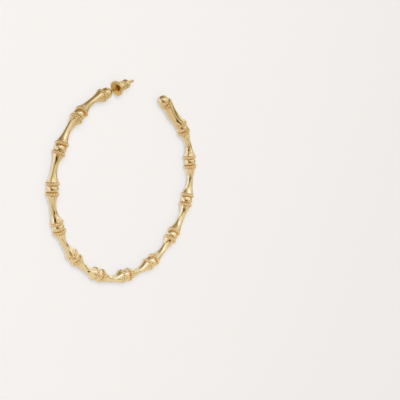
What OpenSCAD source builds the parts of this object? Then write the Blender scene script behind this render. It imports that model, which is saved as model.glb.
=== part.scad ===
// Open hoop earring cast as a bamboo stem, with a straight post and a push-on clutch.
// Millimetres, +Z up. The hoop lies on its side on z = 0 and its gap faces +Y.

/* [Hoop] */
// Radius of the circle that the middles of the knuckles stand on
hoop_r = 27.9; // [26:0.1:32]
// Angle from one knuckle to the next
pitch_deg = 23.69; // [22:0.01:24]
// Number of knuckles, counting the one at each end
knuckle_count = 14; // [8:1:14]
// Number of beads round each ring
bead_count = 14; // [10:1:16]

/* [Spacing] */
// How far the fifth, sixth and tenth knuckle stand inside the circle
side_in = 0.3; // [0:0.05:0.4]
// How far the ninth and tenth knuckle are moved back, and the eighth half as much
crowd_back = 0.55; // [0:0.05:0.7]
// How far the twelfth knuckle is moved on towards the free end
late_on = 0.3; // [0:0.05:0.5]

/* [Knuckle] */
// Radius of the barrel between the two rings
barrel_r = 1.78; // [1.5:0.01:1.85]
// Distance of each ring from the middle of the knuckle
ring_at = 1.41; // [1.2:0.01:1.7]
// Width of a ring along the stem
ring_w = 1; // [0.8:0.01:1.2]
// Width of a ring's crest
crest_w = 0.36; // [0.2:0.01:0.5]
// Radius of a ring over its beads
ring_r = 2.06; // [1.95:0.01:2.2]
// Depth of the notches between the beads
notch_depth = 0.2; // [0.1:0.01:0.3]
// Radius of the groove between barrel and ring
groove_r = 1.42; // [1.2:0.01:1.45]

/* [Stem] */
// Radius of the stem where it flares up to a ring
flare_r = 1.74; // [1.6:0.01:1.8]
// Radius of the stem half way between two knuckles
waist_r = 0.94; // [0.8:0.01:1.2]
// Radius of the last stem, next to the free end, at its middle
last_waist_r = 1.6; // [0.9:0.01:1.7]
// How far the last stem bows in towards the middle of the hoop
last_bow = 1; // [0:0.05:1.1]
// How far the stem opposite the gap bows out
far_bow = 0.4; // [0:0.05:0.6]
// How far the stem before the last one bows out
turn_bow = 0.15; // [0:0.05:0.6]
// How sharply the flare opens, with a higher number for a longer thin waist
flare_power = 2.4; // [1.5:0.1:3.5]

/* [Ends] */
// Radius of the ball at the post end
post_ball_r = 1.68; // [1.6:0.01:1.85]
// Distance of that ball beyond the middle of its knuckle
post_ball_at = 0.45; // [0.2:0.05:0.6]
// How far the post end stands inside the circle
post_in = 0.1; // [0:0.05:0.4]
// Radius of the ball at the free end
free_ball_r = 1.75; // [1.7:0.01:1.9]
// How far that ball and its ring stand beyond the place of the last knuckle
free_past = 0.35; // [0:0.05:0.5]
// Radius of the ring behind that ball
free_ring_r = 1.98; // [1.95:0.01:2.1]
// How far the free end stands outside the circle
free_out = 0.15; // [0:0.05:0.4]
// How far the two knuckles before the free end stand outside the circle
turn_out = 0.25; // [0:0.05:0.4]

/* [Post] */
// Diameter of the post
post_d = 0.8; // [0.7:0.01:0.9]
// Length of the post beyond its ball
post_len = 9.6; // [9:0.1:12]
// Angle that the post leans in towards the middle of the hoop
post_lean = 0.5; // [0:0.5:4]
// Length of the rounded point at the tip
tip_len = 0.3; // [0.1:0.05:0.5]

/* [Clutch] */
// Distance from the ball to the front of the clutch, where the ear lobe sits
lobe_gap = 2.3; // [1.5:0.1:3]
// Diameter of the front disc
disc_d = 4.64; // [4:0.1:5]
// Thickness of the disc at its edge
disc_t = 0.42; // [0.3:0.01:0.5]
// Width of the flat rim round the dished front
rim_w = 0.2; // [0.1:0.01:0.3]
// Depth of the dished front
dish_depth = 0.4; // [0.2:0.01:0.5]
// Length of the clutch along the post
clutch_len = 4.8; // [4.6:0.1:5.4]
// Diameter of the neck behind the disc
neck_d = 2.5; // [2.3:0.05:2.6]
// Diameter of the round collar
collar_d = 2.8; // [2.7:0.05:3]
// Width of the round collar along the post
collar_w = 1.4; // [1.2:0.05:1.6]
// Clearance all round between post and bore
bore_play = 0.05; // [0.02:0.01:0.09]

/* [Hidden] */
$fn = 64;

gold = [0.88, 0.68, 0.34];
pale_gold = [0.92, 0.76, 0.45];

// Angles round the hoop, counted anticlockwise from +X, and places along a knuckle
last_i = knuckle_count - 1;
start_deg = 90 + (360 - last_i * pitch_deg) / 2;
ring_inner = ring_at - ring_w / 2;
ring_outer = ring_at + ring_w / 2;
sides = 2 * bead_count;

// Place of the hoop's middle: the widest round part rests on z = 0, and the origin is under the
// middle of the whole, post and clutch included
lie_z = max(ring_r, disc_d / 2);
middle_y = -0.34;

function heading(deg) = [cos(deg), sin(deg)];

// How far a knuckle is moved on from its even place, with a lower number than zero where it is moved back
function knuckle_on(i) = i == 7 ? -crowd_back / 2 : i == 8 || i == 9 ? -crowd_back : i == 11 ? late_on : 0;
function knuckle_deg(i) = start_deg + i * pitch_deg + knuckle_on(i) * 180 / (PI * hoop_r);

// How far a knuckle stands outside the circle, with a lower number than zero where it stands inside
function knuckle_out(i) =
    i == 0 ? -post_in :
    i == last_i ? free_out :
    i == 4 || i == 5 || i == 9 ? -side_in :
    i == 11 || i == 12 ? turn_out : 0;

// A knuckle is straight: a point on its axis
function on_knuckle(i, along) =
    (hoop_r + knuckle_out(i)) * heading(knuckle_deg(i)) + along * heading(knuckle_deg(i) + 90);

// A stem is the arc that runs smoothly from one knuckle's axis into the next
function stem_span(i) = knuckle_deg(i + 1) - knuckle_deg(i);
function stem_deg(i, u) = knuckle_deg(i) + u * stem_span(i);
function on_stem(i, u, shift) =
    let (arc_r = hoop_r - ring_outer / tan(stem_span(i) / 2), arc_at = (hoop_r - arc_r) / cos(stem_span(i) / 2))
    arc_at * heading(stem_deg(i, 0.5)) + (arc_r - shift) * heading(stem_deg(i, u));

// Columns of a profile: place along the axis, radius, depth of the notches between beads
ALONG = 0;
RADIUS = 1;
NOTCH = 2;
function flipped(rows) = [for (k = [len(rows) - 1 : -1 : 0]) [-rows[k][ALONG], rows[k][RADIUS], rows[k][NOTCH]]];
function moved(rows, by) = [for (row = rows) [row[ALONG] + by, row[RADIUS], row[NOTCH]]];

// Ring: foot in the groove, beads on the crest, foot at the flare
function ring_rows(crest_r) = [
    [ring_inner, groove_r, 0],
    [ring_at - crest_w / 2, crest_r, notch_depth],
    [ring_at + crest_w / 2, crest_r, notch_depth],
    [ring_outer, flare_r, 0],
];

// Barrel: a full middle that falls off to the grooves
barrel_edge = 0.45 * ring_inner;
barrel_rows = [[-barrel_edge, barrel_r, 0], [barrel_edge, barrel_r, 0]];
knuckle_rows = concat(flipped(ring_rows(ring_r)), barrel_rows, ring_rows(ring_r));

// Ball at an end, from its pole round to where it meets the groove
ball_angles = [22, 44, 66, 88, 108];
function ball_rows(r, past) = [for (a = ball_angles) [-past - r * cos(a), r * sin(a), 0]];
post_end_rows = concat(ball_rows(post_ball_r, post_ball_at), ring_rows(ring_r));
free_end_rows = moved(flipped(concat(ball_rows(free_ball_r, 0), ring_rows(free_ring_r))), free_past);

// Stem: a waist with a flare at each side
stem_steps = [0.12, 0.27, 0.5, 0.73, 0.88];
function stem_radius(u, thin_r) = thin_r + (flare_r - thin_r) * pow(abs(1 - 2 * u), flare_power);

// How far a stem bows in, with a lower number than zero where it bows out
far_i = floor(last_i / 2);
function stem_bow(i) = i == last_i - 1 ? last_bow : i == last_i - 2 ? -turn_bow : i == far_i ? -far_bow : 0;

// Sections of the swept body: direction of the plane from the hoop's middle, centre, radius, notch
function knuckle_sections(i, rows) = [for (row = rows)
    [knuckle_deg(i), on_knuckle(i, row[ALONG]), row[RADIUS], row[NOTCH]]];
function stem_sections(i, thin_r) = [for (u = stem_steps)
    let (shift = 4 * stem_bow(i) * u * (1 - u) - knuckle_out(i) * (1 - u) - knuckle_out(i + 1) * u)
    [stem_deg(i, u), on_stem(i, u, shift), stem_radius(u, thin_r), 0]];
sections = concat(
    knuckle_sections(0, post_end_rows),
    [for (i = [1 : last_i - 1], section = concat(
        stem_sections(i - 1, waist_r),
        knuckle_sections(i, knuckle_rows))) section],
    stem_sections(last_i - 1, last_waist_r),
    knuckle_sections(last_i, free_end_rows)
);

// Columns of a section
PLANE = 0;
CENTRE = 1;
SIZE = 2;
CUT = 3;
function lifted(point) = [point.x, point.y + middle_y, lie_z];

// A point of a section: every second side is a notch between two beads
function side_radius(section, j) = section[SIZE] - (j % 2 == 0 ? section[CUT] : 0);
function section_point(section, j) =
    let (turn = 90 + (j - 1) * 360 / sides, r = side_radius(section, j))
    lifted(section[CENTRE] + r * cos(turn) * heading(section[PLANE])) + [0, 0, r * sin(turn)];

post_pole = lifted(on_knuckle(0, -post_ball_at - post_ball_r));
free_pole = lifted(on_knuckle(last_i, free_past + free_ball_r));
hoop_points = concat(
    [for (section = sections, j = [0 : sides - 1]) section_point(section, j)],
    [post_pole, free_pole]
);

function corner(i, j) = i * sides + j % sides;
last_section = len(sections) - 1;
post_pole_at = len(sections) * sides;
free_pole_at = post_pole_at + 1;
hoop_faces = concat(
    [for (j = [0 : sides - 1]) [post_pole_at, corner(0, j + 1), corner(0, j)]],
    [for (i = [0 : last_section - 1], j = [0 : sides - 1], half = [0, 1])
        half == 0
            ? [corner(i, j), corner(i + 1, j + 1), corner(i + 1, j)]
            : [corner(i, j), corner(i, j + 1), corner(i + 1, j + 1)]],
    [for (j = [0 : sides - 1]) [free_pole_at, corner(last_section, j), corner(last_section, j + 1)]]
);

// The post starts in the middle of its ball, nearly in line with the first knuckle
module along_post(distance) {
    translate(lifted(on_knuckle(0, -post_ball_at)))
        rotate([0, 90, knuckle_deg(0) - 90 - post_lean])
            translate([0, 0, distance])
                children();
}

module post() {
    shaft_len = post_ball_r + post_len - tip_len;
    along_post(0)
        cylinder(h = shaft_len, d = post_d);
    along_post(shaft_len)
        cylinder(h = tip_len, d1 = post_d, d2 = 0.5 * post_d);
}

module hoop() {
    color(gold)
        union() {
            polyhedron(points = hoop_points, faces = hoop_faces);
            post();
        }
}

// Outline of the clutch: radius across, place along the post upwards
disc_r = disc_d / 2;
neck_r = neck_d / 2;
collar_r = collar_d / 2;
bore_r = post_d / 2 + bore_play;
edge = 0.1;
mouth_r = bore_r + 1.5 * edge;
collar_end_r = 0.7 * collar_r;
collar_at = clutch_len - collar_w / 2;
bell_steps = [0, 0.1, 0.25, 0.45, 0.7, 1];
collar_angles = [-50, -25, 0, 25, 50, 70, 90];

// The bell runs down from the back of the disc to the neck, and the collar swells behind it
bell_from = disc_t + edge;
bell_to = collar_at + collar_w / 2 * sin(collar_angles[0]);
function bell_r(t) = neck_r + (disc_r - 2 * edge - neck_r) * pow(1 - t, 2);
bell_outline = [for (t = bell_steps) [bell_r(t), bell_from + (bell_to - bell_from) * t]];
collar_outline = [for (a = collar_angles)
    [collar_end_r + (collar_r - collar_end_r) * cos(a), collar_at + collar_w / 2 * sin(a)]];
front_outline = [
    [bore_r, dish_depth + edge],
    [mouth_r, dish_depth],
    [disc_r - rim_w - edge, 0],
    [disc_r - edge, 0],
    [disc_r, edge],
    [disc_r, disc_t],
];
rear_outline = [[mouth_r, clutch_len], [bore_r, clutch_len - edge]];
clutch_outline = concat(front_outline, bell_outline, collar_outline, rear_outline);

module clutch() {
    color(pale_gold)
        along_post(post_ball_r + lobe_gap)
            rotate_extrude()
                polygon(clutch_outline);
}

hoop();
clutch();
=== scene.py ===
# Large bamboo hoop earring in polished gold, with its push-on clutch, lying on a pale floor
import math
from collections import namedtuple

import bmesh
import bpy
import numpy as np
from mathutils import Matrix, Vector


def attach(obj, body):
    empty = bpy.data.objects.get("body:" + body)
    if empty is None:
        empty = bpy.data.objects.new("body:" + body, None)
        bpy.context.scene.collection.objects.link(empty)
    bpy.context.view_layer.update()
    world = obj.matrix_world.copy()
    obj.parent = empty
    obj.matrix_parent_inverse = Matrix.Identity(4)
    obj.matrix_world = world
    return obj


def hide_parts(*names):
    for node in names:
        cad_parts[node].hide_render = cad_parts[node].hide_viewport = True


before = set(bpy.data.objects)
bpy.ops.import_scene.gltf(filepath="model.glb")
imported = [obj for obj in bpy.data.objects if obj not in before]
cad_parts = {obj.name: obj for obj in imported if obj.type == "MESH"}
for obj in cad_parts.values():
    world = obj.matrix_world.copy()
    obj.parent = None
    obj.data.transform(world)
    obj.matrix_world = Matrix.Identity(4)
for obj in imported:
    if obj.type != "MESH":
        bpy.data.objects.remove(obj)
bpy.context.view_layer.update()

MM = 0.001

# Hoop, in millimetres and degrees: knuckles on a circle, with a stem between each two
HOOP_R = 27.9
PITCH_DEG = 23.69
KNUCKLES = 14
LAST = KNUCKLES - 1
START_DEG = 90 + (360 - LAST * PITCH_DEG) / 2
MIDDLE = np.array([0.0, -0.34, 2.32])

# How far knuckles stand outside the circle, or inside below zero, numbered from 0 at the post
POST_IN = 0.1
SIDE_IN = 0.3
TURN_OUT = 0.25
FREE_OUT = 0.15
KNUCKLE_OUT = {0: -POST_IN, 4: -SIDE_IN, 5: -SIDE_IN, 9: -SIDE_IN,
               11: TURN_OUT, 12: TURN_OUT, LAST: FREE_OUT}

# How far knuckles are moved on along the hoop, or back below zero
CROWD_BACK = 0.55
LATE_ON = 0.3
KNUCKLE_ON = {7: -CROWD_BACK / 2, 8: -CROWD_BACK, 9: -CROWD_BACK, 11: LATE_ON}

# How far the stem after a knuckle bows in, or out below zero
FAR_BOW = 0.4
TURN_BOW = 0.15
LAST_BOW = 1.0
STEM_BOW = {LAST // 2: -FAR_BOW, LAST - 2: -TURN_BOW, LAST - 1: LAST_BOW}

# Knuckle: a round barrel between two rings, with a groove at each side. The barrel fills a share of
# the room between the rings, and two powers shape the arch of a ring
BARREL_R = 1.78
BARREL_SHARE = 0.93
GROOVE_R = 1.42
RING_AT = 1.41
RING_W = 1.0
RING_R = 2.06
RING_FLAT_POWER = 3
RING_FULL_POWER = 0.7
RING_INNER = RING_AT - RING_W / 2
RING_OUTER = RING_AT + RING_W / 2

# Beads round a ring, no two quite the same in height and place, and how deep they are parted
BEADS = 14
BEAD_H = 0.3
BEAD_FULLNESS = 0.6
BEAD_PARTING = 0.88
BEAD_H_SPREAD = 0.05
BEAD_SHIFT = 0.05

# Stem: a waist that flares out to the rings. A fine lip takes a share of its length at each end, and
# part of the lip's depth is cut into the stem
FLARE_R = 1.74
WAIST_R = 0.94
LAST_WAIST_R = 1.6
FLARE_POWER = 2.4
LIP = 0.012
LIP_DEPTH = 0.12
LIP_CUT = 0.35

# Ends: a ball with the soldered post, and a larger ball at the free end
POST_BALL_R = 1.68
POST_BALL_AT = 0.45
POST_R = 0.4
POST_LEN = 9.6
POST_LEAN = 0.5
TIP_LEN = 0.45
SOLDER_R = 0.7
SOLDER_LEN = 0.42
SOLDER_HOLLOW = 2.2
FREE_BALL_R = 1.75
FREE_PAST = 0.35
FREE_RING_R = 1.98

# How hollow each place of the hoop is, from 0 on open gold to 1 in a groove, which sets how much
# painted shade makes its gold deeper there. The powers say how fast that grows between two beads and
# towards the edge of a round form
BARREL_RECESS = 0.12
RING_RECESS = 0.02
BARREL_SIDE_RECESS = 0.45
LIP_RECESS = 0.6
SOLDER_RECESS = 0.5
BEAD_RECESS_POWER = 3.0
EDGE_RECESS_POWER = 8

# Clutch: a dished disc, a tapering bell and a round collar on the post
LOBE_GAP = 2.3
CLUTCH_LEN = 4.8
DISC_R = 2.32
DISC_T = 0.42
RIM_W = 0.2
DISH_DEPTH = 0.4
DISH_POWER = 2.2
FUNNEL_DEPTH = 1.3
FUNNEL_SHARE = 0.5
FUNNEL_POWER = 2.0
PINCH_DEG = 52
NECK_R = 1.25
COLLAR_R = 1.4
COLLAR_END_R = 0.7 * COLLAR_R
COLLAR_W = 1.4
BORE_R = 0.45
EDGE = 0.1
MOUTH_R = BORE_R + 1.5 * EDGE
BELL_POWER = 2

# How hollow the clutch is, which sets its painted shade: full in the bore, fading over the dish, and
# again down to the pinch
DISH_FADE = 0.15
RIM_RECESS = 0.3
BELL_RECESS_POWER = 6
PINCH_RECESS_POWER = 3

# Rounded edges of the clutch: radius and place where each arc ends, how far it stands out, how many
# steps it has, and how hollow it is, which sets its painted shade
Arc = namedtuple("Arc", "end bulge steps recess")
RIM_ARCS = (
    Arc((DISC_R - EDGE, 0.0), 0.01, 3, 0.0),
    Arc((DISC_R, EDGE), 0.028, 4, 0.0),
    Arc((DISC_R, DISC_T - 0.06), 0.0, 2, 0.0),
    Arc((DISC_R - 0.12, DISC_T + EDGE - 0.02), 0.03, 4, 0.0),
)
REAR_ARCS = (
    Arc((MOUTH_R, CLUTCH_LEN), 0.0, 2, 0.1),
    Arc((BORE_R, CLUTCH_LEN - EDGE), 0.03, 3, 0.6),
)
BORE_STEPS = 4

# How finely the skins are divided
BEAD_COLS = 8
RING_STEPS = 12
BARREL_STEPS = 10
STEM_STEPS = 20
TIP_ANGLES = (15, 35, 55, 75, 90)
POST_STEPS = 6
SOLDER_PLACES = (1, 0.75, 0.5, 0.3, 0.15)
POST_BALL_STEPS = 14
FREE_BALL_STEPS = 16
DISH_STEPS = 19
BELL_STEPS = 17
COLLAR_STEPS = 17
CLUTCH_COLS = 144

# Angle between two faces from which their edge is drawn sharp
HOOP_SHARP_DEG = 50
CLUTCH_SHARP_DEG = 40

# Hand-polished surface: kinds of shallow waves, each as height in millimetres and wave count per
# millimetre, and how many waves each kind has
POLISH_WAVES = ((0.006, 0.35), (0.004, 0.7), (0.002, 1.3))
WAVES_EACH = 6
SEED = 7

# Gold of the hoop: its colours, the painted shade in its grooves, the tint of its edges, and a painted
# shade laid over it towards one side. The shade grows from this reach in metres before the middle to
# the same reach past it
GOLD = (0.955, 0.80, 0.515, 1.0)
PALE_GOLD = (0.975, 0.83, 0.56, 1.0)
GROOVE_PAINTED_SHADE = (0.88, 0.50, 0.105, 1.0)
EDGE_TINT = (0.80, 0.75, 0.55, 1.0)
PAINTED_SHADE_SIDE = (-0.29, 0.957, 0.0)
PAINTED_SHADE_SIDE_REACH = 0.03
PAINTED_SHADE_SIDE_TONE = (0.82, 0.76, 0.645, 1.0)
NO_TONE = (1.0, 1.0, 1.0, 1.0)

# Gold of the clutch, and the painted shade in its bore and dish
CLUTCH_GOLD = (0.765, 0.595, 0.31, 1.0)
PALE_CLUTCH_GOLD = (0.795, 0.63, 0.35, 1.0)
DISH_PAINTED_SHADE = (0.60, 0.385, 0.12, 1.0)

# Finish of each gold: pale and main colour, colour of the painted shade and its share in a groove,
# grain of mottle and wear in waves per metre, least and most dullness, and what a groove adds to it
Finish = namedtuple("Finish", "pale main deep deep_share mottle wear dull groove_dull")
CAST = Finish(PALE_GOLD, GOLD, GROOVE_PAINTED_SHADE, 0.52, 420, 1900, (0.02, 0.06), 0.15)
TURNED = Finish(PALE_CLUTCH_GOLD, CLUTCH_GOLD, DISH_PAINTED_SHADE, 1.0, 500, 2100, (0.08, 0.18), 0.12)
MOTTLE_RANGE = (0.35, 0.65)
WEAR_RANGE = (0.3, 0.8)

# Relief in the finish: grain in waves per metre and depth in metres, lathe rings per millimetre
BROAD_GRAIN = 800
BROAD_DEPTH = 4e-6
LATHE_GRAIN = 9.0
LATHE_DEPTH = 6e-6
FINE_GRAIN = 5200
FINE_DEPTH = 5e-7

# Floor: a large pale disc, in metres, with some light of its own, which grows between the two
# distances of the fade
FLOOR_R = 2.2
FLOOR_SIDES = 96
FLOOR_COLOURS = ((0.865, 0.833, 0.809, 1.0), (0.875, 0.843, 0.819, 1.0))
FLOOR_GRAIN = 60
FLOOR_GLOW = (0.36, 0.346, 0.335, 1.0)
FLOOR_FADE = (0.2, 2.4)
FAR_GLOW = 2.0

# Camera of the photograph: its direction in degrees, the point of the hoop's plane in the middle of
# the picture, and the distance to it in millimetres
CAMERA_AZIMUTH = -93.679
CAMERA_ELEVATION = 42.161
CAMERA_ROLL = 100.152
CAMERA_AIM = (33.868, -3.531, 2.32)
CAMERA_DISTANCE = 482.891
LENS = 140.588
SENSOR = 36.0
NEAREST = 0.01
FARTHEST = 10.0

# Lamps over the floor: place and size in metres, power in watts
Lamp = namedtuple("Lamp", "name place size power")
LAMPS = (
    Lamp("overhead", (0.0, 0.0, 1.8), 3.0, 15.6),
    Lamp("front", (-1.0, 0.35, 1.25), 0.9, 13.2),
)

# Studio that the gold mirrors: an even level of light, and the powers by which red, green and blue
# follow it, so that dark patches are browner
DOME_LEVEL = 0.82
LEVEL_POWERS = (1.0, 1.25, 1.9)

# Tints of the studio from its sides: azimuth and elevation of a side in degrees from the camera, how
# near to it a direction is where the tint starts and where it is full, and its red, green and blue
Tint = namedtuple("Tint", "azimuth elevation start full colour")
TINTS = (
    Tint(0, -90, -0.2, 0.7, (1.0, 0.965, 0.93)),
    Tint(-90, 0, 0.2, 0.9, (1.0, 1.02, 1.12)),
    Tint(0, 90, 0.4, 0.9, (1.0, 1.06, 1.28)),
    Tint(0, 15, 0.4, 0.85, (1.0, 0.965, 0.915)),
)

# Patches of the studio: middle, half width and half height in degrees, turn, edge and light level
Patch = namedtuple("Patch", "azimuth elevation wide high turn edge level")
PATCHES = (
    Patch(-75, -2, 42, 22, 0, 0.3, 1.02),
    Patch(-112, 22, 24, 7, 0, 0.3, 1.18),
    Patch(-105, 62, 34, 29, 0, 0.2, 0.34),
    Patch(50, 74, 24, 16, 0, 0.2, 0.42),
    Patch(28, 34, 42, 17, 0, 0.15, 1.05),
    Patch(42, 37, 15, 8, 0, 0.2, 1.45),
    Patch(146, 28, 24, 11, 0, 0.3, 1.18),
    Patch(-5, -66, 80, 20, 0, 0.4, 0.80),
    Patch(-150, -18, 22, 11, 0, 0.3, 1.2),
    Patch(-30, 18, 14, 22, 0, 0.3, 0.62),
    Patch(2, -30, 36, 16, 0, 0.4, 0.56),
    Patch(-8, -16, 28, 14, 0, 0.4, 0.46),
    Patch(-52, -20, 16, 6, 10, 0.3, 1.3),
    Patch(74, 8, 15, 5, 20, 0.3, 1.25),
    Patch(116, 4, 28, 5, 18, 0.4, 0.36),
    Patch(74, -42, 3, 28, 0, 0.3, 0.12),
    Patch(34, -24, 20, 4, 18, 0.3, 0.12),
    Patch(-15, -16, 14, 5, -8, 0.3, 0.08),
    Patch(-12, 10, 4.5, 22, 28, 0.3, 0.08),
    Patch(93, -6, 5, 5, 0, 0.3, 0.12),
    Patch(4, -14, 13, 10, 0, 0.15, 0.05),
)


# Shape of the hoop: rows of points round its axis. Across is the place from -1 to 1 over a beaded
# ring, and None elsewhere
Row = namedtuple("Row", "plane centre radius recess across")


def heading(deg):
    return np.array([math.cos(math.radians(deg)), math.sin(math.radians(deg))])


def knuckle_deg(i):
    return START_DEG + i * PITCH_DEG + math.degrees(KNUCKLE_ON.get(i, 0.0) / HOOP_R)


def knuckle_out(i):
    return KNUCKLE_OUT.get(i, 0.0)


def on_knuckle(i, along):
    """A point on the straight axis of a knuckle."""
    middle = (HOOP_R + knuckle_out(i)) * heading(knuckle_deg(i))
    return middle + along * heading(knuckle_deg(i) + 90)


def stem_deg(i, u):
    """Direction of a place on the stem after knuckle i, for u from 0 to 1."""
    return knuckle_deg(i) * (1 - u) + knuckle_deg(i + 1) * u


def on_stem(i, u):
    """A point on the axis of that stem, an arc that runs smoothly from one knuckle into the next."""
    half_span = math.radians(stem_deg(i, 0.5) - knuckle_deg(i))
    arc_r = HOOP_R - RING_OUTER / math.tan(half_span)
    arc_at = (HOOP_R - arc_r) / math.cos(half_span)
    bow_in = 4 * STEM_BOW.get(i, 0.0) * u * (1 - u)
    shift = bow_in - knuckle_out(i) * (1 - u) - knuckle_out(i + 1) * u
    return arc_at * heading(stem_deg(i, 0.5)) + (arc_r - shift) * heading(stem_deg(i, u))


def spread(steps):
    """Places from -1 to 1 that crowd towards both ends."""
    return [-math.cos(math.pi * k / steps) for k in range(steps + 1)]


def plain_row(plane, centre, radius, recess=0.0):
    return Row(plane, centre, radius, recess, None)


def ring_rows(i, at, stem_side, crest_r):
    """Rows of a beaded ring; stem_side is 1 where the stem follows it and -1 where it comes first."""
    base_r = crest_r - BEAD_H
    rows = []
    for x in spread(RING_STEPS):
        foot_r = FLARE_R - LIP_DEPTH if x * stem_side > 0 else GROOVE_R
        rise = max(0.0, 1 - abs(x) ** RING_FLAT_POWER) ** RING_FULL_POWER
        radius = foot_r + (base_r - foot_r) * rise
        recess = RING_RECESS + (BARREL_SIDE_RECESS - RING_RECESS) * max(0.0, -x * stem_side)
        rows.append(Row(knuckle_deg(i), on_knuckle(i, at + x * RING_W / 2), radius, recess, x))
    return rows


def barrel_rows(i):
    """Rows of the round barrel, which drops into the groove at each side."""
    rows = []
    for x in spread(BARREL_STEPS):
        along = x * BARREL_SHARE * RING_INNER
        radius = math.sqrt(BARREL_R ** 2 - along ** 2)
        recess = BARREL_RECESS + (1 - BARREL_RECESS) * x ** EDGE_RECESS_POWER
        rows.append(plain_row(knuckle_deg(i), on_knuckle(i, along), radius, recess))
    return rows


def stem_rows(i):
    """Rows of the stem after knuckle i, with a lip where it meets each ring."""
    waist_r = LAST_WAIST_R if i == LAST - 1 else WAIST_R
    inner = [(1 + x) / 2 for x in spread(STEM_STEPS)[1:-1] if LIP < (1 + x) / 2 < 1 - LIP]
    rows = []
    for u in [LIP / 3, LIP] + inner + [1 - LIP, 1 - LIP / 3]:
        radius = waist_r + (FLARE_R - waist_r) * abs(1 - 2 * u) ** FLARE_POWER
        recess = 0.0
        if min(u, 1 - u) < LIP / 2:
            radius -= LIP_CUT * LIP_DEPTH
            recess = LIP_RECESS
        rows.append(plain_row(stem_deg(i, u), on_stem(i, u), radius, recess))
    return rows


def post_frame():
    """Plane of the post, the middle of its ball, and the direction to its tip."""
    plane = knuckle_deg(0) - POST_LEAN
    return plane, on_knuckle(0, -POST_BALL_AT), heading(plane - 90)


def post_rows():
    """Rows from the tip of the post to where its solder meets the ball."""
    plane, centre, outward = post_frame()
    tip_from = POST_BALL_R + POST_LEN - TIP_LEN
    ball_to = math.sqrt(POST_BALL_R ** 2 - SOLDER_R ** 2)
    rows = []
    for a in np.radians(TIP_ANGLES):
        at = centre + outward * (tip_from + TIP_LEN * math.cos(a))
        rows.append(plain_row(plane, at, POST_R * math.sin(a)))
    for s in np.linspace(tip_from, ball_to + SOLDER_LEN, POST_STEPS + 1)[1:-1]:
        rows.append(plain_row(plane, centre + outward * s, POST_R))
    for t in SOLDER_PLACES:
        at = centre + outward * (ball_to + SOLDER_LEN * t)
        radius = POST_R + (SOLDER_R - POST_R) * (1 - t) ** SOLDER_HOLLOW
        rows.append(plain_row(plane, at, radius, SOLDER_RECESS * (1 - t)))
    return rows


def post_ball_rows():
    """Rows of the ball at the post, turning into line with the first knuckle, and of its groove."""
    centre = on_knuckle(0, -POST_BALL_AT)
    a_from = math.asin(SOLDER_R / POST_BALL_R)
    a_to = math.pi - math.asin(GROOVE_R / POST_BALL_R)
    rows = []
    for t in np.linspace(0, 1, POST_BALL_STEPS + 1):
        a = a_from + (a_to - a_from) * t
        plane = knuckle_deg(0) - POST_LEAN * (1 - t)
        at = centre + heading(plane - 90) * POST_BALL_R * math.cos(a)
        rows.append(plain_row(plane, at, POST_BALL_R * math.sin(a), t ** EDGE_RECESS_POWER))
    ball_edge = math.sqrt(POST_BALL_R ** 2 - GROOVE_R ** 2) - POST_BALL_AT
    rows.append(plain_row(knuckle_deg(0), on_knuckle(0, (ball_edge + RING_INNER) / 2), GROOVE_R, 1.0))
    return rows


def free_ball_rows():
    """Rows of the ball at the free end, from its groove to just before its pole."""
    a_from = math.pi - math.acos(RING_INNER / FREE_BALL_R)
    rows = []
    for t in np.linspace(1, 0, FREE_BALL_STEPS + 1)[:-1]:
        at = on_knuckle(LAST, FREE_PAST + FREE_BALL_R * math.cos(a_from * t))
        radius = FREE_BALL_R * math.sin(a_from * t)
        rows.append(plain_row(knuckle_deg(LAST), at, radius, t ** EDGE_RECESS_POWER))
    return rows


def hoop_rows():
    rows = post_rows() + post_ball_rows() + ring_rows(0, RING_AT, 1, RING_R) + stem_rows(0)
    for i in range(1, LAST):
        rows += ring_rows(i, -RING_AT, -1, RING_R) + barrel_rows(i)
        rows += ring_rows(i, RING_AT, 1, RING_R) + stem_rows(i)
    return rows + ring_rows(LAST, FREE_PAST - RING_AT, -1, FREE_RING_R) + free_ball_rows()


def hoop_ends():
    """The tip of the post and the pole of the ball at the free end."""
    _, centre, outward = post_frame()
    tip = centre + outward * (POST_BALL_R + POST_LEN)
    pole = on_knuckle(LAST, FREE_PAST + FREE_BALL_R)
    return [[*end, 0] + MIDDLE for end in (tip, pole)]


def hoop_skin():
    """Points, faces and recess values of the hoop: its rows, closed by a point at both ends."""
    rng = np.random.default_rng(SEED)
    across = np.tile([-math.cos(math.pi * j / BEAD_COLS) for j in range(BEAD_COLS)], BEADS)
    beads_passed = np.repeat(np.arange(BEADS), BEAD_COLS) + across / 2
    turns = math.radians(90) + beads_passed * 2 * math.pi / BEADS
    points, recess = [], []
    for row in hoop_rows():
        radius = np.full(len(turns), row.radius)
        hollow = np.full(len(turns), row.recess)
        if row.across == -1:
            tall = np.repeat(rng.uniform(1 - 2 * BEAD_H_SPREAD, 1, BEADS), BEAD_COLS)
            shift = np.repeat(rng.uniform(-BEAD_SHIFT, BEAD_SHIFT, BEADS), BEAD_COLS)
        if row.across is not None:
            along = row.across - shift * (1 - row.across ** 2)
            dome = np.clip(1 - along ** 2 - BEAD_PARTING * across ** 2, 0, 1)
            radius = radius + BEAD_H * tall * dome ** BEAD_FULLNESS
            # Painted shade: the partings between beads are the most hollow, so they are shaded deepest
            hollow = row.recess + (1 - row.recess) * (1 - dome) ** BEAD_RECESS_POWER
        outward = heading(row.plane)
        turned = radius * np.cos(turns)
        points.append(MIDDLE + np.column_stack([
            row.centre[0] + turned * outward[0],
            row.centre[1] + turned * outward[1],
            radius * np.sin(turns)]))
        recess.append(hollow)
    faces = hoop_faces(len(points), len(turns))
    points.append(hoop_ends())
    recess.append([0, 0])
    return np.concatenate(points), faces, {"recess": np.concatenate(recess)}


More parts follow.
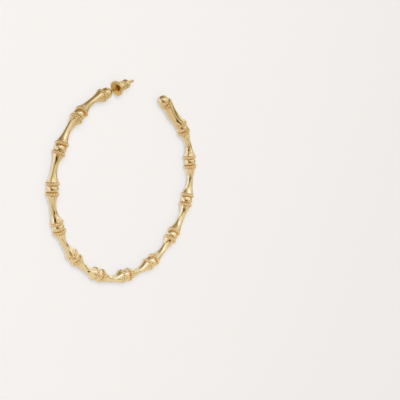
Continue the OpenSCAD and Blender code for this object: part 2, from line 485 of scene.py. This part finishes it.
def hoop_faces(rows, cols):
    """Faces of rows of points round an axis, with a cap to each of the two points after them."""
    faces = []
    for i in range(rows - 1):
        for j in range(cols):
            k = (j + 1) % cols
            faces.append((i * cols + j, i * cols + k, (i + 1) * cols + k, (i + 1) * cols + j))
    first, last = rows * cols, rows * cols + 1
    for j in range(cols):
        k = (j + 1) % cols
        faces.append((first, k, j))
        faces.append((last, (rows - 1) * cols + j, (rows - 1) * cols + k))
    return faces


def polish(points, seed):
    """Height of the shallow waves that hand polishing leaves, at each point."""
    rng = np.random.default_rng(seed)
    height = np.zeros(len(points))
    for amount, per_mm in POLISH_WAVES:
        for _ in range(WAVES_EACH):
            direction = rng.normal(size=3)
            direction *= 2 * math.pi * per_mm / np.linalg.norm(direction)
            wave = np.sin(points @ direction + rng.uniform(0, 2 * math.pi))
            height += amount / (WAVES_EACH / 2) * wave
    return height


# Shape of the clutch: a closed outline, turned about the post. Place is counted along the post from
# the front of the rim
OutlinePoint = namedtuple("OutlinePoint", "radius place recess")


def bow(start, end, bulge, steps, recess):
    """Outline points after start, up to end, on a shallow arc that stands out to the right by bulge."""
    start, end = np.array(start[:2]), np.array(end)
    along = end - start
    side = np.array([along[1], -along[0]]) / np.linalg.norm(along)
    ts = np.linspace(0, 1, steps + 1)[1:]
    return [OutlinePoint(*(start + along * t + side * bulge * 4 * t * (1 - t)), recess) for t in ts]


def dish_outline():
    """From the bore through its funnel and the shallow dish to the rim."""
    rim_to = DISC_R - RIM_W - EDGE
    outline = []
    for t in np.linspace(0, 1, DISH_STEPS + 1):
        funnel = (FUNNEL_DEPTH - DISH_DEPTH) * max(0.0, 1 - t / FUNNEL_SHARE) ** FUNNEL_POWER
        place = DISH_DEPTH * (1 - t ** DISH_POWER) + funnel
        # Painted shade: full in the bore and fading over the dish
        recess = 1 - DISH_FADE * t if t < 1 else RIM_RECESS
        outline.append(OutlinePoint(BORE_R + (rim_to - BORE_R) * t, place, recess))
    return outline


def bell_and_collar_outline():
    """From the back of the disc down the bell to the pinch, and over the round collar."""
    bell_from = DISC_T + EDGE
    collar_at = CLUTCH_LEN - COLLAR_W / 2
    pinch = math.radians(PINCH_DEG)
    bell_to = collar_at - COLLAR_W / 2 * math.sin(pinch)
    outline = []
    for t in np.linspace(0, 1, BELL_STEPS + 1)[1:-1]:
        radius = NECK_R + (DISC_R - 2 * EDGE - NECK_R) * (1 - t) ** BELL_POWER
        place = bell_from + (bell_to - bell_from) * t
        outline.append(OutlinePoint(radius, place, t ** BELL_RECESS_POWER))
    for a in np.linspace(-pinch, math.pi / 2, COLLAR_STEPS + 1):
        radius = COLLAR_END_R + (COLLAR_R - COLLAR_END_R) * math.cos(a)
        place = collar_at + COLLAR_W / 2 * math.sin(a)
        outline.append(OutlinePoint(radius, place, max(0.0, -a / pinch) ** PINCH_RECESS_POWER))
    return outline


def clutch_outline():
    outline = dish_outline()
    for arc in RIM_ARCS:
        outline += bow(outline[-1], *arc)
    outline += bell_and_collar_outline()
    for arc in REAR_ARCS:
        outline += bow(outline[-1], *arc)
    return outline + bow(outline[-1], outline[0][:2], 0.0, BORE_STEPS, 1.0)[:-1]


def clutch_skin():
    """Points and faces of the clutch, with the way along its outline and the recess of each point."""
    plane, centre, axis = post_frame()
    axis = np.array([*axis, 0.0])
    side = np.array([*heading(plane), 0.0])
    foot = np.array([*centre, 0.0]) + MIDDLE + axis * (POST_BALL_R + LOBE_GAP)
    turns = np.linspace(0, 2 * math.pi, CLUTCH_COLS, endpoint=False)
    around = np.outer(np.cos(turns), side) + np.outer(np.sin(turns), (0, 0, 1))
    outline = clutch_outline()
    points = np.concatenate([foot + axis * at.place + around * at.radius for at in outline])
    steps = [math.dist(a[:2], b[:2]) for a, b in zip(outline, outline[1:])]
    travel = np.concatenate([[0], np.cumsum(steps)])
    rows = len(outline)
    faces = []
    for i in range(rows):
        start, after = i * CLUTCH_COLS, (i + 1) % rows * CLUTCH_COLS
        for j in range(CLUTCH_COLS):
            k = (j + 1) % CLUTCH_COLS
            faces.append((start + j, after + j, after + k, start + k))
    values = {"travel": np.repeat(travel, CLUTCH_COLS),
              "recess": np.repeat([at.recess for at in outline], CLUTCH_COLS)}
    return points, faces, values


# Pieces
def make_piece(name, points, faces, values, sharp_deg):
    """A smooth-shaded mesh object with its faces turned outwards and named values at its points."""
    mesh = bpy.data.meshes.new(name)
    mesh.from_pydata((points * MM).tolist(), [], faces)
    shell = bmesh.new()
    shell.from_mesh(mesh)
    bmesh.ops.recalc_face_normals(shell, faces=shell.faces)
    shell.to_mesh(mesh)
    shell.free()
    for attribute, numbers in values.items():
        mesh.attributes.new(attribute, "FLOAT", "POINT").data.foreach_set("value", numbers)
    mesh.shade_smooth()
    mesh.set_sharp_from_angle(angle=math.radians(sharp_deg))
    piece = bpy.data.objects.new(name, mesh)
    bpy.context.scene.collection.objects.link(piece)
    return piece


def roughen(piece, seed):
    """Moves each point along its normal by the shallow waves of hand polishing."""
    mesh = piece.data
    points = np.empty(len(mesh.vertices) * 3)
    normals = np.empty(len(mesh.vertices) * 3)
    mesh.vertices.foreach_get("co", points)
    mesh.vertex_normals.foreach_get("vector", normals)
    points, normals = points.reshape(-1, 3), normals.reshape(-1, 3)
    points += normals * polish(points / MM, seed)[:, None] * MM
    mesh.vertices.foreach_set("co", points.ravel())
    mesh.update()


# Materials
class Nodes:
    """Short calls for making and joining shader nodes."""

    # Sockets of the node that mixes colours: its factor and two colours, and the mixed colour
    MIX_INPUTS = (0, 6, 7)
    MIX_OUTPUT = 2

    def __init__(self, tree):
        self.tree = tree
        tree.nodes.clear()

    def add(self, kind, settings=None, **inputs):
        node = self.tree.nodes.new(kind)
        for key, value in (settings or {}).items():
            setattr(node, key, value)
        for key, value in inputs.items():
            self.put(node.inputs[key.replace("_", " ")], value)
        return node

    def put(self, socket, value):
        if isinstance(value, bpy.types.NodeSocket):
            self.tree.links.new(value, socket)
        else:
            socket.default_value = value

    def math(self, operation, a, b=0.0):
        node = self.add("ShaderNodeMath", {"operation": operation})
        self.put(node.inputs[0], a)
        self.put(node.inputs[1], b)
        return node.outputs[0]

    def dot(self, a, b):
        node = self.add("ShaderNodeVectorMath", {"operation": "DOT_PRODUCT"})
        self.put(node.inputs[0], a)
        self.put(node.inputs[1], b)
        return node.outputs["Value"]

    def mix(self, factor, a, b, blend="MIX"):
        node = self.add("ShaderNodeMix", {"data_type": "RGBA", "blend_type": blend})
        for socket, value in zip(self.MIX_INPUTS, (factor, a, b)):
            self.put(node.inputs[socket], value)
        return node.outputs[self.MIX_OUTPUT]

    def ramp(self, value, low, high, out_low=0.0, out_high=1.0, smooth=True):
        kind = "SMOOTHSTEP" if smooth else "LINEAR"
        node = self.add("ShaderNodeMapRange", {"interpolation_type": kind}, Value=value,
                        From_Min=low, From_Max=high, To_Min=out_low, To_Max=out_high)
        return node.outputs[0]

    def noise(self, vector, scale, detail, roughness=0.5):
        node = self.add("ShaderNodeTexNoise", Vector=vector, Scale=scale, Detail=detail,
                        Roughness=roughness)
        return node.outputs["Fac"]

    def bump(self, height, depth, **inputs):
        node = self.add("ShaderNodeBump", Height=height, Strength=1.0, Distance=depth, **inputs)
        return node.outputs[0]

    def place(self):
        return self.add("ShaderNodeTexCoord").outputs["Object"]

    def stored(self, attribute):
        return self.add("ShaderNodeAttribute", {"attribute_name": attribute}).outputs["Fac"]


def new_material(name):
    """An empty material and its nodes."""
    material = bpy.data.materials.new(name)
    material.use_nodes = True
    return material, Nodes(material.node_tree)


def worn_gold_and_painted_shade(n, place, finish):
    """Slightly mottled colour and dullness, duller in the grooves and deeper there by painted shade."""
    recess = n.stored("recess")
    mottle = n.ramp(n.noise(place, finish.mottle, detail=3), *MOTTLE_RANGE)
    colour = n.mix(mottle, finish.main, finish.pale)
    # Painted shade: hollow places are mixed towards the painted shade colour
    colour = n.mix(n.math("MULTIPLY", recess, finish.deep_share), colour, finish.deep)
    wear = n.noise(place, finish.wear, detail=4, roughness=0.6)
    dull = n.ramp(wear, *WEAR_RANGE, *finish.dull)
    return colour, n.math("ADD", dull, n.math("MULTIPLY", recess, finish.groove_dull))


def finish_gold(n, place, colour, dull, relief):
    """Metal with fine polishing marks over its coarser relief."""
    marks = n.noise(place, FINE_GRAIN, detail=3, roughness=0.6)
    shader = n.add("ShaderNodeBsdfPrincipled", Base_Color=colour, Metallic=1.0, Roughness=dull,
                   Specular_Tint=EDGE_TINT, Normal=n.bump(marks, FINE_DEPTH, Normal=relief))
    n.add("ShaderNodeOutputMaterial", Surface=shader.outputs[0])


def cast_gold():
    """Polished cast gold, with painted shade that makes it a little deeper towards one side of the
    hoop.
    """
    material, n = new_material("cast_gold")
    place = n.place()
    colour, dull = worn_gold_and_painted_shade(n, place, CAST)
    # Painted shade: the gold is toned deeper towards one side of the hoop
    painted_shade_side = n.ramp(n.dot(place, PAINTED_SHADE_SIDE), -PAINTED_SHADE_SIDE_REACH, PAINTED_SHADE_SIDE_REACH, smooth=False)
    colour = n.mix(1.0, colour, n.mix(painted_shade_side, NO_TONE, PAINTED_SHADE_SIDE_TONE), "MULTIPLY")
    relief = n.bump(n.noise(place, BROAD_GRAIN, detail=2), BROAD_DEPTH)
    finish_gold(n, place, colour, dull, relief)
    return material


def turned_gold():
    """Turned gold, with the fine rings that the lathe leaves along the outline."""
    material, n = new_material("clutch_gold")
    place = n.place()
    colour, dull = worn_gold_and_painted_shade(n, place, TURNED)
    rings = n.add("ShaderNodeTexNoise", {"noise_dimensions": "1D"}, W=n.stored("travel"),
                  Scale=LATHE_GRAIN, Detail=3.0)
    finish_gold(n, place, colour, dull, n.bump(rings.outputs["Fac"], LATHE_DEPTH))
    return material


def pale_floor():
    """Matt floor that gives off a little light, more of it far out."""
    material, n = new_material("pale_floor")
    place = n.place()
    colour = n.mix(n.noise(place, FLOOR_GRAIN, detail=3), *FLOOR_COLOURS)
    distance = n.math("SQRT", n.dot(place, place))
    glow = n.ramp(distance, *FLOOR_FADE, 1.0, FAR_GLOW)
    shader = n.add("ShaderNodeBsdfPrincipled", Base_Color=colour, Roughness=1.0, Specular_IOR_Level=0.0,
                   Emission_Color=FLOOR_GLOW, Emission_Strength=glow)
    n.add("ShaderNodeOutputMaterial", Surface=shader.outputs[0])
    return material


# Studio
def camera_axes():
    """Right, up and view direction of the photograph's camera."""
    angles = (CAMERA_AZIMUTH, CAMERA_ELEVATION, CAMERA_ROLL)
    azimuth, elevation, roll = (math.radians(angle) for angle in angles)
    view = Vector((-math.sin(azimuth) * math.cos(elevation), math.cos(azimuth) * math.cos(elevation),
                   -math.sin(elevation)))
    level = Vector((math.cos(azimuth), math.sin(azimuth), 0))
    right = math.cos(roll) * level + math.sin(roll) * level.cross(view)
    return right, right.cross(view), view


def make_camera():
    right, up, view = camera_axes()
    data = bpy.data.cameras.new("camera")
    data.lens, data.sensor_width, data.sensor_fit = LENS, SENSOR, "HORIZONTAL"
    data.clip_start, data.clip_end = NEAREST, FARTHEST
    camera = bpy.data.objects.new("camera", data)
    turn = Matrix((right, up, -view)).transposed().to_4x4()
    camera.matrix_world = Matrix.Translation((Vector(CAMERA_AIM) - view * CAMERA_DISTANCE) * MM) @ turn
    bpy.context.scene.collection.objects.link(camera)
    bpy.context.scene.camera = camera


def from_camera(azimuth, elevation):
    """Direction in the studio, given in degrees to the right of and above the way to the camera."""
    right, up, view = camera_axes()
    a, e = math.radians(azimuth), math.radians(elevation)
    return math.sin(a) * math.cos(e) * right + math.sin(e) * up - math.cos(a) * math.cos(e) * view


def add_patch(n, direction, level, patch):
    """Light level with a soft-edged oval patch laid over it."""
    middle = from_camera(patch.azimuth, patch.elevation)
    across = from_camera(patch.azimuth + 90, 0)
    upward = middle.cross(across).normalized()
    if upward.dot(camera_axes()[1]) < 0:
        upward = -upward
    turn = math.radians(patch.turn)
    across, upward = (math.cos(turn) * across + math.sin(turn) * upward,
                      math.cos(turn) * upward - math.sin(turn) * across)
    x = n.math("ARCTAN2", n.dot(direction, tuple(across)), n.dot(direction, tuple(middle)))
    y = n.math("ARCSINE", n.dot(direction, tuple(upward)))
    x = n.math("DIVIDE", x, math.radians(patch.wide))
    y = n.math("DIVIDE", y, math.radians(patch.high))
    reach = n.math("SQRT", n.math("ADD", n.math("MULTIPLY", x, x), n.math("MULTIPLY", y, y)))
    inside = n.ramp(reach, 1 + patch.edge, 1 - patch.edge)
    kept = n.math("MULTIPLY", level, n.math("SUBTRACT", 1.0, inside))
    return n.math("ADD", kept, n.math("MULTIPLY", inside, patch.level))


def make_studio_light():
    """Soft light from all round, with the light and dark patches that the gold mirrors."""
    world = bpy.data.worlds.new("studio")
    bpy.context.scene.world = world
    world.use_nodes = True
    n = Nodes(world.node_tree)
    direction = n.add("ShaderNodeTexCoord").outputs["Generated"]
    level = DOME_LEVEL
    for patch in PATCHES:
        level = add_patch(n, direction, level, patch)
    shares = []
    for tint in TINTS:
        nearness = n.dot(direction, tuple(from_camera(tint.azimuth, tint.elevation)))
        shares.append(n.ramp(nearness, tint.start, tint.full))
    tinted = n.add("ShaderNodeCombineColor")
    for i, power in enumerate(LEVEL_POWERS):
        channel = n.math("POWER", level, power)
        for share, tint in zip(shares, TINTS):
            channel = n.math("MULTIPLY", channel, n.ramp(share, 0, 1, 1, tint.colour[i], smooth=False))
        n.put(tinted.inputs[i], channel)
    background = n.add("ShaderNodeBackground", Color=tinted.outputs[0])
    n.add("ShaderNodeOutputWorld", Surface=background.outputs[0])
    world.cycles_visibility.diffuse = False


def make_lamp(lamp):
    """A round soft lamp that lights the floor and doesn't show as a spot in the gold."""
    data = bpy.data.lights.new(lamp.name, "AREA")
    data.shape, data.size, data.energy = "DISK", lamp.size, lamp.power
    light = bpy.data.objects.new(lamp.name, data)
    light.location = lamp.place
    light.rotation_euler = (-light.location).to_track_quat("-Z", "Y").to_euler()
    light.visible_glossy = light.visible_camera = False
    bpy.context.scene.collection.objects.link(light)


def make_floor():
    """A floor that takes the hoop's shadow and stays out of the gold's reflections."""
    mesh = bpy.data.meshes.new("floor")
    shell = bmesh.new()
    bmesh.ops.create_circle(shell, cap_ends=True, segments=FLOOR_SIDES, radius=FLOOR_R)
    shell.to_mesh(mesh)
    shell.free()
    mesh.materials.append(pale_floor())
    floor = bpy.data.objects.new("floor", mesh)
    bpy.context.scene.collection.objects.link(floor)
    floor.visible_glossy = False


# The earring: the floor gets no light back from either piece, so no yellow glow lies round it
def make_hoop():
    hoop = make_piece("bamboo_hoop", *hoop_skin(), HOOP_SHARP_DEG)
    roughen(hoop, SEED)
    hoop.data.materials.append(cast_gold())
    hoop.visible_diffuse = False
    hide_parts("hoop")
    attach(hoop, "hoop")


def make_clutch():
    clutch = make_piece("push_clutch", *clutch_skin(), CLUTCH_SHARP_DEG)
    clutch.data.materials.append(turned_gold())
    clutch.visible_diffuse = False
    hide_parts("clutch")
    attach(clutch, "clutch")


bpy.context.scene.view_settings.view_transform = "Standard"
make_camera()
make_floor()
make_studio_light()
for lamp in LAMPS:
    make_lamp(lamp)
make_hoop()
make_clutch()
